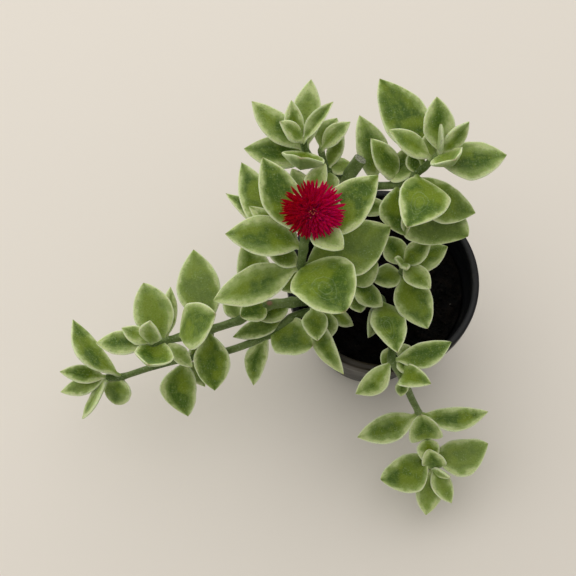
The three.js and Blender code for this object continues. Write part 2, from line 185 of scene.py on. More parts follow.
def ramp(tree, value, start, end, first=0.0, last=1.0):
    """Smooth step of a value: first up to start, last from end on, and a cubic in between."""
    node = tree.nodes.new("ShaderNodeMapRange")
    node.interpolation_type = "SMOOTHSTEP"
    feed(tree, node.inputs["Value"], value)
    for socket, bound in zip(("From Min", "From Max", "To Min", "To Max"), (start, end, first, last)):
        node.inputs[socket].default_value = bound
    return node.outputs["Result"]


def maths(tree, operation, first, second=0.0):
    """One sum on two values, or on one."""
    node = tree.nodes.new("ShaderNodeMath")
    node.operation = operation
    feed(tree, node.inputs[0], first)
    feed(tree, node.inputs[1], second)
    return node.outputs[0]


def product(tree, first, second):
    """One value times another."""
    return maths(tree, "MULTIPLY", first, second)


def tinted(tree, share, colour, over):
    """A colour with this share of another laid over it."""
    node = tree.nodes.new("ShaderNodeMix")
    node.data_type = "RGBA"
    feed(tree, node.inputs["Factor"], share)
    feed(tree, node.inputs[6], colour)
    feed(tree, node.inputs[7], over)
    return node.outputs[2]


def relief(tree, shader, height, depth, strength):
    """Bump on the shader: heights from 0 to 1 stand for this depth, in millimetres."""
    node = tree.nodes.new("ShaderNodeBump")
    node.inputs["Distance"].default_value = depth * MM
    node.inputs["Strength"].default_value = strength
    feed(tree, node.inputs["Height"], height)
    tree.links.new(node.outputs["Normal"], shader.inputs["Normal"])


def place_on(tree):
    """The object's own coordinates, in metres."""
    return tree.nodes.new("ShaderNodeTexCoord").outputs["Object"]


def parts_of(tree, vector):
    """The three numbers of a vector."""
    node = tree.nodes.new("ShaderNodeSeparateXYZ")
    feed(tree, node.inputs[0], vector)
    return node.outputs


def black_plastic():
    """Satin black plastic: a dusty film in the grain, a painted reflection of the pale floor that pales it
    low down and browns the wall that the front stem hangs over, and roughness that wanders."""
    material, tree, shader = finish("black_plastic", {"Specular IOR Level": 0.22})
    where = place_on(tree)
    cloud = grain(tree, where, 90, 4)
    specks = grain(tree, where, 1400, 3)
    _, depth, height = parts_of(tree, where)
    # Painted reflection of the floor: paler towards the foot.
    low = ramp(tree, height, REFLECTION_HEIGHT * MM, 0.0)
    # Painted reflection of the floor: browner on the front of the wall.
    front = ramp(tree, depth, REFLECTING_FRONT[0] * MM, REFLECTING_FRONT[1] * MM, 0.0, 0.6)
    dust_and_reflection_share = product(tree, ramp(tree, cloud, 0.42, 0.7), ramp(tree, specks, 0.4, 0.65))
    # Dust in the grain, plus the painted reflection near the foot.
    dust_and_reflection_share = maths(tree, "ADD", product(tree, dust_and_reflection_share, 0.35), product(tree, low, 0.15))
    colour = tinted(tree, dust_and_reflection_share, PLASTIC_BLACK, DUST_AND_REFLECTION)
    feed(tree, shader.inputs["Base Color"], tinted(tree, front, colour, FLOOR_REFLECTION_BROWN))
    feed(tree, shader.inputs["Roughness"], ramp(tree, cloud, 0.3, 0.75, 0.32, 0.55))
    relief(tree, shader, specks, 0.05, 0.5)
    return material


def drained(pot):
    """The pot with its drain holes cut: a ring of short rods taken out of the floor."""
    angle = 2 * np.pi * np.arange(DRAIN_COUNT) / DRAIN_COUNT
    rod = turned(np.array([[DRAIN_RADIUS, -1.0], [DRAIN_RADIUS, FLOOR + 1.0]]), 32)
    rods = gathered([skin(rod + DRAIN_CIRCLE * np.array([np.cos(a), np.sin(a), 0])) for a in angle])
    cutter = piece("drain_cutter", rods, pot.data.materials[0], "pot")
    modifier = pot.modifiers.new("drains", "BOOLEAN")
    modifier.operation = "DIFFERENCE"
    modifier.object = cutter
    shaped = pot.evaluated_get(bpy.context.evaluated_depsgraph_get())
    pot.data = bpy.data.meshes.new_from_object(shaped)
    pot.modifiers.clear()
    bpy.data.objects.remove(cutter)


wall_slope = (WALL_TOP_RADIUS - BASE_RADIUS) / (POT_HEIGHT - RIM_DEPTH)
rim_foot = POT_HEIGHT - RIM_DEPTH
pot_outline = rounded([
    (0, 0, 0),
    (FOOT_GROOVE - 1.0, 0, EDGE_ROUND),
    (FOOT_GROOVE - 0.4, GROOVE_DEPTH, EDGE_ROUND),
    (FOOT_GROOVE + 0.4, GROOVE_DEPTH, EDGE_ROUND),
    (FOOT_GROOVE + 1.0, 0, EDGE_ROUND),
    (BASE_RADIUS - 0.1, 0, 0.8),
    (WALL_TOP_RADIUS, rim_foot, 0.5),
    (RIM_RADIUS, rim_foot, 0.7),
    (RIM_RADIUS, POT_HEIGHT, RIM_ROUND),
    (RIM_INSIDE, POT_HEIGHT, RIM_ROUND),
    (RIM_INSIDE - 0.15, rim_foot - 1, 0.4),
    (BASE_RADIUS - WALL + wall_slope * FLOOR, FLOOR, 0.8),
    (0, FLOOR, 0),
])
pot = piece("nursery_pot", skin(turned(pot_outline[1:-1], POT_SIDES)), black_plastic(), "pot", "pot")
drained(pot)

# Soil: damp potting mix of peat and bark, nearly black, filled to a little below the rim. Its top is
# lumpy, with loose crumbs of many sizes and a few pale grains of perlite, and the stems root in it.
SOIL_LEVEL = 46.0
SOIL_GAP = 0.4
CLOD_HEIGHT = 0.7
SOIL_RINGS = 60
EDGE_FADE = 1.5
CRUMBS = 1100
CRUMB_SIZES = (0.35, 1.3)
CRUMB_SINK = 0.15
PERLITE = 14
PERLITE_SIZES = (0.3, 0.6)
PEAT_WET = (0.0010, 0.0008, 0.0006)
PEAT_DRY = (0.0055, 0.0035, 0.0022)
PEAT_DUST = (0.025, 0.018, 0.012)
PERLITE_GREY = (0.16, 0.15, 0.13)
PERLITE_STAIN = (0.03, 0.022, 0.016)


def clods(x, y):
    """Height of the soil's top over its level: three crossing waves, and finer ones for the crumb."""
    waves = np.sin(0.62 * x + 1.3) * np.cos(0.55 * y) + 0.6 * np.sin(0.35 * x - 0.8 * y)
    waves = waves + 0.5 * np.cos(1.1 * x + 0.9 * y)
    fine = np.sin(3.1 * x + 2 * np.sin(1.7 * y)) * np.sin(2.7 * y + 2 * np.sin(2.3 * x))
    return CLOD_HEIGHT * (waves + 0.35 * fine)


def soil_fill():
    """Rings up the side of the fill and in over its top to the middle, the top lifted by the clods."""
    bottom = FLOOR + SOIL_GAP
    foot = BASE_RADIUS - WALL - SOIL_GAP + wall_slope * bottom
    edge = BASE_RADIUS - WALL - SOIL_GAP + wall_slope * SOIL_LEVEL
    top = np.linspace(edge, 0.3, SOIL_RINGS)
    side = [[0.5, bottom], [foot, bottom]]
    outline = np.concatenate([side, np.stack([top, SOIL_LEVEL + 0 * top], axis=-1)])
    rings = turned(outline, POT_SIDES)
    fade = np.clip((edge - outline[2:, :1]) / EDGE_FADE, 0, 1)
    rings[2:, :, 2] += fade * clods(rings[2:, :, 0], rings[2:, :, 1])
    return skin(rings), edge


def lump():
    """A ball of twenty triangles: the corners of three golden rectangles that cross at right angles."""
    golden = (1 + 5 ** 0.5) / 2
    flat = np.array([(a, b * golden, 0.0) for a in (-1, 1) for b in (-1, 1)])
    corners = np.concatenate([np.roll(flat, turn, axis=1) for turn in range(3)])
    corners /= np.linalg.norm(corners[0])
    close = np.linalg.norm(corners[:, None] - corners[None], axis=-1) < 1.1
    index = np.arange(12)
    a, b, c = (grid.ravel() for grid in np.meshgrid(index, index, index, indexing="ij"))
    keep = (a < b) & (b < c) & close[a, b] & close[b, c] & close[a, c]
    faces = np.stack([a, b, c], axis=-1)[keep]
    first, second, third = (corners[faces[:, k]] for k in range(3))
    inward = np.einsum("ij,ij->i", np.cross(second - first, third - first), first) < 0
    faces[inward] = faces[inward][:, ::-1]
    return corners, faces


def crumbs(count, sizes, edge, sink, rng):
    """Lumps strewn evenly over the soil: each one's corners are pushed in and out, it is flattened and
    stretched at random, and it sinks by a share of its size."""
    corners, faces = lump()
    radius = (edge - 1.2) * np.sqrt(rng.random(count))
    angle = 2 * np.pi * rng.random(count)
    x, y = radius * np.cos(angle), radius * np.sin(angle)
    size = rng.uniform(*sizes, count) * rng.uniform(0.5, 1.0, count)
    dents = rng.uniform(0.65, 1.2, (count, len(corners), 1))
    stretch = rng.uniform(0.6, 1.3, (count, 1, 3)) * size[:, None, None]
    middle = np.stack([x, y, SOIL_LEVEL + clods(x, y) - sink * size], axis=-1)
    points = (corners * dents * stretch + middle[:, None]).reshape(-1, 3)
    fans = (faces[None] + len(corners) * np.arange(count)[:, None, None]).reshape(-1, 3)
    return {"points": points, "quads": np.zeros((0, 4), int), "fans": fans}


def layered(tree, colour, *layers):
    """A colour with others laid over it in turn. A layer is a value, the two places between which it
    fades in by a smooth step of the value, its share where it is full, and its colour."""
    for value, start, end, full, over in layers:
        colour = tinted(tree, ramp(tree, value, start, end, 0.0, full), colour, over)
    return colour


def potting_mix():
    """Damp peat and bark: near black, browner on the dry tops of lumps, rough, with a fine wet glint."""
    material, tree, shader = finish("potting_mix", {"Specular IOR Level": 0.08})
    where = place_on(tree)
    lumps = grain(tree, where, 420, 4)
    dust = grain(tree, where, 2600, 3)
    colour = layered(tree, PEAT_WET, (lumps, 0.4, 0.72, 1.0, PEAT_DRY), (dust, 0.64, 0.8, 0.3, PEAT_DUST))
    feed(tree, shader.inputs["Base Color"], colour)
    feed(tree, shader.inputs["Roughness"], ramp(tree, dust, 0.3, 0.7, 0.6, 0.95))
    relief(tree, shader, maths(tree, "ADD", lumps, dust), 0.5, 0.8)
    return material


def perlite():
    """Grey-white expanded mineral, chalky, with brown stains from the peat."""
    material, tree, shader = finish("perlite", {"Specular IOR Level": 0.2, "Roughness": 0.9})
    stain = grain(tree, place_on(tree), 900, 3)
    feed(tree, shader.inputs["Base Color"], tinted(tree, stain, PERLITE_GREY, PERLITE_STAIN))
    return material


soil_rng = np.random.default_rng(7)
fill, soil_edge = soil_fill()
mix = potting_mix()
piece("soil_fill", fill, mix, "soil", "soil")
piece("soil_crumbs", crumbs(CRUMBS, CRUMB_SIZES, soil_edge, CRUMB_SINK, soil_rng), mix, "soil")
piece("soil_perlite", crumbs(PERLITE, PERLITE_SIZES, soil_edge, 0.0, soil_rng), perlite(), "soil")

# Flowering stem: the shoot that leans out over the left of the rim and carries the flower. Stem and
# leaves are one living piece: thick watery leaves in pairs, green in the middle with a cream margin,
# and a round stem that swells where each pair grows from it. All are beaded with tiny clear cells.
MIDRIB_HALF = 0.95
EDGE_HALF = 0.35
STALK_HALF = 1.0
STALK_END = 0.06
BROAD_FROM = 0.55
BROAD_SPAN = 0.35
NARROW_LEAF = np.array([0.49, 0.85, 0.95])
BROAD_LESS = np.array([0.08, 0.35, 0.42])
MARGIN_ROUND = 0.5
TWIST = {"depth": 0.035, "waves": 1.3}
RIPPLE = {"depth": 0.03, "waves": 1.9}
RAGGED = {"depth": 0.014, "waves": 2.1, "slant": 0.2}
NOTCHES = {"depth": 0.008, "waves": 4.7}
LIP = {"height": 0.13, "inset": 0.55, "spread": 0.35}
GROOVE = 0.10
KEEL = 0.25
MIDRIB_SPREAD = 0.8
IMPRINT = {"along": 0.60, "side": -0.15, "length": 0.19, "width": 0.34}
LEAF_RINGS = 44
LEAF_COLUMNS = 15
LEAF_LAST_RING = 0.998
CURVE_STEPS = 12
STEM_SIDES = 28
JOINT_SWELL = 0.22
JOINT_SPREAD = 1.5
SCAR_SPREAD = 1.2
CUT_RADII = np.array([0.97, 0.88, 0.6, 0.3])
CUT_HEIGHTS = 0.06 * np.array([1.0, 1.6, 1.0, 0.2])
LEAF_OLIVE = (0.18, 0.255, 0.008)
LEAF_DEEP = (0.054, 0.118, 0.001)
LEAF_MID = (0.08, 0.155, 0.01)
LEAF_MOTTLE = (0.2, 0.28, 0.024)
LEAF_STREAK = (0.215, 0.31, 0.045)
LEAF_PALER = (0.31, 0.4, 0.1)
LEAF_BAND = (0.32, 0.42, 0.11)
LEAF_CREAM = (0.59, 0.655, 0.31)
# Painted highlight along the leaf rim.
LEAF_RIM_HIGHLIGHT = (0.8, 0.85, 0.58)
LEAF_BEADS = (0.42, 0.5, 0.2)
# Painted highlight: glints on the clear beads.
LEAF_GLINT_HIGHLIGHT = (0.62, 0.7, 0.5)
LEAF_PITS = (0.06, 0.105, 0.004)
LEAF_UNDERSIDE = (0.26, 0.34, 0.12)
LEAF_STALK = (0.22, 0.31, 0.075)
LEAF_TIP = (0.34, 0.22, 0.13)
LEAF_IMPRINT = (0.36, 0.46, 0.22)
BARK_DARK = (0.062, 0.105, 0.014)
BARK_LIGHT = (0.165, 0.225, 0.065)
# Painted highlight: the glitter of the clear beads.
BARK_BEAD_HIGHLIGHT = (0.32, 0.38, 0.22)
BARK_SCAR = (0.26, 0.12, 0.09)
CUT_DARK = (0.12, 0.13, 0.09)
CUT_LIGHT = (0.3, 0.3, 0.23)


def bell(distance, spread):
    """A bell curve, 1 at no distance: e to the power of minus the square of distance over spread."""
    return np.exp(-(distance / spread) ** 2)


def sine(share, waves, phase):
    """A sine wave that runs so many times over a share of one, from this phase."""
    return np.sin(2 * np.pi * waves * share + phase)


def leaf_outline(share, slenderness):
    """Half width at a share of the length, as a share of half the full width: it swells by a quarter
    sine from the stalk to the widest place and closes by a curve near an ellipse to the tip. Broad
    leaves swell faster, are widest nearer the stalk and end blunter, as a heart does."""
    broad = np.clip((slenderness - BROAD_FROM) / BROAD_SPAN, 0, 1)
    widest, opening, closing = NARROW_LEAF - BROAD_LESS * broad
    swell = np.sin(np.pi / 2 * np.clip((share - STALK_END) / (widest - STALK_END), 0, 1)) ** opening
    close = (1 - np.clip((share - widest) / (1 - widest), 0, 1) ** 2) ** closing
    return np.where(share < widest, swell, close)


def across_grid(half):
    """Places across a blade for each ring, from its left margin to its right one, in millimetres: close
    together over the rounded margin, even in between. Also the reach of the rounding."""
    rounding = np.minimum(MARGIN_ROUND, 0.45 * half)
    left = half - rounding * np.array([0, 0.1, 0.3, 0.6])
    middle = (half - rounding) * np.linspace(1, -1, LEAF_COLUMNS)
    return np.concatenate([left, middle, -left[:, ::-1]], axis=1), rounding


def leaf(rng, base, heading, rise, length, width, sway=0.0, roll=0.0, arch=0.03, cup=0.12,
         imprint=0.0, pale=0.0):
    """One fleshy leaf. Its middle line runs from the base along its heading and rise, bent to the left by
    the sway and up by the arch as half a sine wave. Each ring across it is a lens with round margins:
    cupped and a little waved, with a lip along the margin, a groove over the midrib and a keel under it.
    The outline is ragged by two sine waves. The leaf's own look is two random shares and the imprint."""
    h, r, turn = np.radians([heading, rise, roll])
    along = np.array([np.cos(h) * np.cos(r), np.sin(h) * np.cos(r), np.sin(r)])
    level = np.array([-np.sin(h), np.cos(h), 0.0])
    left = np.cos(turn) * level + np.sin(turn) * np.cross(along, level)
    up = np.cross(along, left)
    even = np.linspace(0, 1, LEAF_RINGS)
    share = (0.55 * even + 0.45 * (1 - np.cos(np.pi * even)) / 2)[:, None]
    share[-1] = LEAF_LAST_RING
    bow = np.sin(np.pi * share)
    slope = np.arctan(arch * np.pi * np.cos(np.pi * share))
    normal = up * np.cos(slope) - along * np.sin(slope)
    middle = base + along * length * share + (up * arch + left * sway) * length * bow
    stalk = min(STALK_HALF, 0.3 * width)
    half = np.maximum(stalk * (1 - share), width / 2 * leaf_outline(share, width / length))
    place, rounding = across_grid(half)
    side = place / half
    shrink = np.sqrt(1 - share ** 2) * 0.9 + 0.1
    thick = (MIDRIB_HALF - EDGE_HALF) * shrink
    edge = EDGE_HALF * (0.35 + 0.65 * shrink)
    margin = np.clip((half - np.abs(place)) / rounding, 0, 1)
    round_off = np.sqrt(1 - (1 - margin) ** 2)
    phase = rng.uniform(0, 2 * np.pi, 4)
    wave = TWIST["depth"] * side * np.abs(side) * sine(share, TWIST["waves"], phase[0])
    wave = wave + RIPPLE["depth"] * side ** 2 * sine(share, RIPPLE["waves"], phase[1])
    cupped = cup * half * np.abs(side) ** 1.5 + wave * half * bow
    inset = half - np.abs(place) - LIP["inset"]
    lip = LIP["height"] * bell(inset, LIP["spread"]) * np.clip(half / 2 - 0.5, 0, 1)
    groove = GROOVE * bell(place, MIDRIB_SPREAD) * np.clip(half / 3, 0, 1) * bow ** 0.5
    keel = KEEL * bell(place, MIDRIB_SPREAD) * bow
    swell = 1 - side ** 2
    top = cupped + (edge + thick * swell + lip) * round_off - groove
    bottom = cupped - (edge + thick * swell + keel) * round_off
    slanted = RAGGED["waves"] * share + RAGGED["slant"] * side
    notches = NOTCHES["depth"] * sine(share, NOTCHES["waves"], phase[3])
    ragged = 1 + side ** 2 * (RAGGED["depth"] * sine(slanted, 1, phase[2]) + notches)
    under = slice(-2, 0, -1)
    reach = np.concatenate([place * ragged, (place * ragged)[:, under]], axis=1)
    lift = np.concatenate([top, bottom[:, under]], axis=1)
    side = np.concatenate([side, side[:, under]], axis=1)
    below = np.concatenate([0 * place, 1 + 0 * place[:, under]], axis=1)
    rings = middle[:, None] + left * reach[..., None] + normal[:, None] * lift[..., None]
    body = skin(rings)
    body["points"][-1] = base + along * length
    rim = (1 - np.abs(side)) * np.maximum(half, 0.2 * width)
    spot = np.stack([share + 0 * side, side, rim], axis=-1).reshape(-1, 3)
    body["leaf_spot"] = np.concatenate([spot, [[0, 0, 1], [1, 0, 0]]])
    body["leaf_below"] = np.concatenate([below.ravel(), [0, 0]])
    look = np.array([rng.random(), rng.uniform(0.75, 1.35) * min(1, 0.45 + width / 20), imprint])
    look[:2] += pale * (np.array([1.0, 1.6]) - look[:2])
    body["leaf_look"] = np.tile(look, (len(body["points"]), 1))
    return body


def curve_through(points):
    """A smooth curve through its points, the ends carried on straight: on each stretch a cubic whose
    slope at a point is half the step between that point's neighbours."""
    points = np.array(points, float)
    points = np.concatenate([[2 * points[0] - points[1]], points, [2 * points[-1] - points[-2]]])
    t = (np.arange(CURVE_STEPS) / CURVE_STEPS)[None, :, None]
    before, start, end, after = (points[i:len(points) - 3 + i, None] for i in range(4))
    out, into = (end - before) / 2, (after - start) / 2
    bends = (2 * start - 2 * end + out + into) * t ** 3 + (3 * end - 3 * start - 2 * out - into) * t ** 2
    return np.concatenate([(bends + out * t + start).reshape(-1, 3), points[-2:-1]])


def stem(points, thick, thin, bud, joints, scar=None):
    """A round stem along a curve. Its radius falls evenly with the length run, swells by a bell curve at
    each joint and ripples a little round the turn. A bud of this length closes a growing tip as half an
    ellipse, and a stem that was cut ends in a flat face with a softened edge. A scar is the point of a
    fallen leaf, and its mark fades by a bell curve."""
    path = curve_through(points)
    run = np.concatenate([[0], np.cumsum(np.linalg.norm(np.diff(path, axis=0), axis=1))])
    tangent = np.gradient(path, run, axis=0)
    tangent /= np.linalg.norm(tangent, axis=1)[:, None]
    steady = np.linalg.svd(tangent)[2][-1]
    over = steady - tangent * (tangent @ steady)[:, None]
    over /= np.linalg.norm(over, axis=1)[:, None]
    beside = np.cross(tangent, over)
    radius = thick + (thin - thick) * run / run[-1]
    for joint in joints:
        radius = radius * (1 + JOINT_SWELL * bell(run - run[joint * CURVE_STEPS], JOINT_SPREAD))
    last = radius[-1]
    if bud:
        closing = np.linspace(0.25, 0.97, 5)
        ends = path[-1] + tangent[-1] * bud * closing[:, None]
        radii = last * np.sqrt(1 - closing ** 2)
    else:
        ends = path[-1] + tangent[-1] * CUT_HEIGHTS[:, None]
        radii = last * CUT_RADII
    path = np.concatenate([path, ends])
    radius = np.concatenate([radius, radii])
    over = np.concatenate([over, np.repeat(over[-1:], len(ends), axis=0)])
    beside = np.concatenate([beside, np.repeat(beside[-1:], len(ends), axis=0)])
    turn = 2 * np.pi * np.arange(STEM_SIDES) / STEM_SIDES
    ripple = 1 + 0.025 * np.cos(4 * turn + 0.6) + 0.015 * np.cos(7 * turn + 2)
    round_stem = over[:, None] * np.cos(turn)[:, None] + beside[:, None] * np.sin(turn)[:, None]
    body = skin(path[:, None] + (radius[:, None] * ripple)[..., None] * round_stem)
    cut = np.zeros(len(path)) if bud else np.concatenate([np.zeros(len(path) - 3), np.ones(3)])
    body["stem_cut"] = np.concatenate([np.repeat(cut, STEM_SIDES), [0, cut[-1]]])
    body["stem_scar"] = np.zeros(len(body["points"]))
    if scar is not None:
        body["stem_scar"] += bell(np.linalg.norm(body["points"] - scar, axis=1), SCAR_SPREAD)
    return body


def stored(tree, name):
    """What a skin stores on its points under this name: Fac for one number, Vector for three."""
    node = tree.nodes.new("ShaderNodeAttribute")
    node.attribute_name = name
    return node.outputs


def vector_of(tree, *numbers):
    """A vector of three numbers."""
    node = tree.nodes.new("ShaderNodeCombineXYZ")
    for socket, number in zip(node.inputs, numbers):
        feed(tree, socket, number)
    return node.outputs[0]


def moved(tree, value, noise, reach):
    """A value moved by a noise: how far the noise is over a half, times the reach, is added to it."""
    return maths(tree, "ADD", value, product(tree, maths(tree, "SUBTRACT", noise, 0.5), reach))


def green_flesh():
    """The leaves' skin. Green wanders from olive to mid green, turns light towards the margin and cream
    at it, along an edge that drifts with the distance to the margin plus noise and streaks along the
    leaf. The rim line is palest, a painted highlight of the light that the edge scatters, and white
    glints in patches are painted highlights. The tip browns, the underside is paler, and an imprint
    adds oval rings."""
    material, tree, shader = finish("green_flesh", {
        "Specular IOR Level": 0.16, "Subsurface Weight": 0.2, "Subsurface Radius": (0.6, 1.0, 0.25),
        "Subsurface Scale": 0.0015, "Diffuse Roughness": 1.0, "Sheen Weight": 0.35, "Sheen Roughness": 0.5,
        "Sheen Tint": (0.75, 0.95, 0.5, 1.0),
    })
    where = place_on(tree)
    along, side, rim = parts_of(tree, stored(tree, "leaf_spot")["Vector"])
    own, margin, imprint = parts_of(tree, stored(tree, "leaf_look")["Vector"])
    below = stored(tree, "leaf_below")["Fac"]
    stretch = ((along, 1.6), (side, 5.0), (own, 40.0))
    lengthwise = vector_of(tree, *(product(tree, number, times) for number, times in stretch))
    streak = grain(tree, lengthwise, 1.3, 3)
    drift = grain(tree, where, 210, 2)
    cloud = grain(tree, where, 95, 2)
    mottle = grain(tree, where, 620, 3)
    beads = grain(tree, where, 2100, 2)
    edge = moved(tree, rim, drift, 4.5)
    edge = moved(tree, edge, mottle, 1.6)
    edge = moved(tree, edge, streak, 1.0)
    edge = maths(tree, "DIVIDE", edge, margin)
    colour = layered(
        tree, LEAF_OLIVE,
        (moved(tree, cloud, along, 0.25), 0.43, 0.57, 1.0, LEAF_DEEP),
        (drift, 0.52, 0.66, 0.6, LEAF_MID),
        (mottle, 0.45, 0.72, 0.5, LEAF_MOTTLE),
        (streak, 0.48, 0.75, 0.3, LEAF_STREAK),
        (own, 0.5, 1.0, 0.4, LEAF_PALER),
        (edge, 3.7, 1.4, 0.75, LEAF_BAND),
        (edge, 2.0, 0.5, 0.9, LEAF_CREAM),
        # Painted highlight: the palest line along the rim stands in for light scattered at the edge.
        (rim, 0.7, 0.15, 0.7, LEAF_RIM_HIGHLIGHT),
        (beads, 0.52, 0.74, 0.22, LEAF_BEADS),
    )
    # Painted highlights: white glints of the clear beads, in patches.
    patches = ramp(tree, drift, 0.54, 0.66, 0.0, 0.12)
    painted_glints = product(tree, ramp(tree, beads, 0.58, 0.68), patches)
    colour = tinted(tree, painted_glints, colour, LEAF_GLINT_HIGHLIGHT)
    colour = layered(tree, colour, (beads, 0.44, 0.30, 0.3, LEAF_PITS))
    colour = tinted(tree, product(tree, below, 0.45), colour, LEAF_UNDERSIDE)
    colour = layered(tree, colour, (along, 0.12, 0.03, 0.7, LEAF_STALK), (along, 0.975, 1.0, 0.5, LEAF_TIP))
    x = maths(tree, "DIVIDE", maths(tree, "SUBTRACT", along, IMPRINT["along"]), IMPRINT["length"])
    y = maths(tree, "DIVIDE", maths(tree, "SUBTRACT", side, IMPRINT["side"]), IMPRINT["width"])
    square = maths(tree, "ADD", product(tree, x, x), product(tree, y, y))
    oval = moved(tree, maths(tree, "SQRT", square), mottle, 0.35)
    outer = ramp(tree, maths(tree, "ABSOLUTE", maths(tree, "SUBTRACT", oval, 1.0)), 0.09, 0.0)
    inner = ramp(tree, maths(tree, "ABSOLUTE", maths(tree, "SUBTRACT", oval, 0.55)), 0.10, 0.0)
    rings = product(tree, maths(tree, "ADD", outer, inner), imprint)
    colour = tinted(tree, product(tree, rings, 0.16), colour, LEAF_IMPRINT)
    feed(tree, shader.inputs["Base Color"], colour)
    feed(tree, shader.inputs["Roughness"], ramp(tree, drift, 0.3, 0.7, 0.36, 0.5))
    height = maths(tree, "ADD", product(tree, beads, 0.8), rings)
    relief(tree, shader, maths(tree, "ADD", height, product(tree, mottle, 1.2)), 0.16, 0.8)
    return material


def beaded_bark():
    """The stems' skin: dark green, greyed by pale specks painted as highlights where clear beads catch the
    light, paler in patches, with pinkish brown on a leaf scar and a pale, dry, mottled face where a stem
    was cut."""
    material, tree, shader = finish("beaded_bark", {
        "Specular IOR Level": 0.2, "Subsurface Weight": 0.08, "Subsurface Radius": (0.5, 0.9, 0.25),
        "Subsurface Scale": 0.001, "Sheen Weight": 0.25, "Sheen Roughness": 0.5,
        "Sheen Tint": (0.8, 0.95, 0.6, 1.0),
    })
    where = place_on(tree)
    cloud = grain(tree, where, 160, 3)
    beads = grain(tree, where, 1900, 2)
    cut_face = layered(tree, CUT_DARK, (beads, 0.4, 0.6, 1.0, CUT_LIGHT))
    colour = layered(
        tree, BARK_DARK,
        (cloud, 0.35, 0.7, 1.0, BARK_LIGHT),
        # Painted highlight: pale specks where the clear beads catch the light.
        (beads, 0.54, 0.72, 0.42, BARK_BEAD_HIGHLIGHT),
        (stored(tree, "stem_scar")["Fac"], 0.3, 0.8, 0.8, BARK_SCAR),
        (stored(tree, "stem_cut")["Fac"], 0.2, 0.8, 1.0, cut_face),
    )
    feed(tree, shader.inputs["Base Color"], colour)
    feed(tree, shader.inputs["Roughness"], ramp(tree, beads, 0.4, 0.7, 0.5, 0.3))
    relief(tree, shader, beads, 0.16, 0.9)
    return material


leaf_skin = green_flesh()
stem_skin = beaded_bark()


def shoot(name, node, branches, seed, imprints=(), pale=(), scar=None):
    """The leaves of a shoot as one piece and its stems as another. A branch has the points that its stem
    runs through, its radius at the foot and the tip, and its bud's length. A leaf row is the number of
    the point that it grows from, then heading and rise in degrees, length, width, and where they are not
    plain its sway, roll, arch and cup. The imprints are the leaves (branch, leaf) that bear oval rings,
    and the pale ones are mostly cream."""
    rng = np.random.default_rng(seed)
    blades, stems = [], []
    for i, branch in enumerate(branches):
        points = np.array(branch["points"], float)
        joints = sorted({row[0] for row in branch["leaves"]} - {0})
        stems.append(stem(points, branch["thick"], branch["thin"], branch.get("bud", 1.2), joints, scar))
        for j, (place, *shape) in enumerate(branch["leaves"]):
            marks = {"imprint": float((i, j) in imprints), "pale": float((i, j) in pale)}
            blades.append(leaf(rng, points[place], *shape, **marks))
    piece(name + "_leaves", gathered(blades), leaf_skin, "foliage", node)
    piece(name + "_stem", gathered(stems), stem_skin, "foliage", node)


FLOWERING = [
    {
        "points": [[-17, 2, 36], [-18, 0, 50], [-22, -5, 66], [-26.5, -8.5, 82], [-28, -8.5, 91],
            [-27.5, -5.5, 98], [-27, -3.5, 102], [-26, -0.5, 105.2], [-25, 3, 106.2]],
        "thick": 1.7, "thin": 1.2, "bud": 0.5,
        "leaves": [
            [4, -162, -13, 29, 12.3, 0.02], [4, -55, 26, 24, 19.6, 0.06, 0, 0.067],
            [4, 152, 8, 12, 7], [5, 171.5, 8, 23.5, 13, -0.06], [4, 24.7, 1.9, 30.1, 17.2, -0.05, 6],
            [5, 123, -2, 34.5, 12, 0.08], [5, 139.5, -9, 31.5, 7], [6, 120, 20, 26.5, 12.2, 0.03],
            [6, 37, 18, 28, 14, -0.05], [5, 141, 4, 21, 7], [7, -40, 5, 13, 9], [3, -165, -15, 9, 8],
        ],
    },
    {
        "points": [[-27, -3.5, 102], [-26.5, 2, 102.5], [-26, 7, 104]],
        "thick": 0.9, "thin": 0.7,
        "leaves": [
            [2, 64, 20, 12.4, 6.5, 0.06, 12], [2, 116, 10, 11.2, 6.5, 0, -12],
            [1, 40, 40, 12, 3.5, 0, 40],
        ],
    },
]
shoot("flowering_stem", "stem_flowering", FLOWERING, 11, imprints=((0, 1),), pale=((0, 10),))

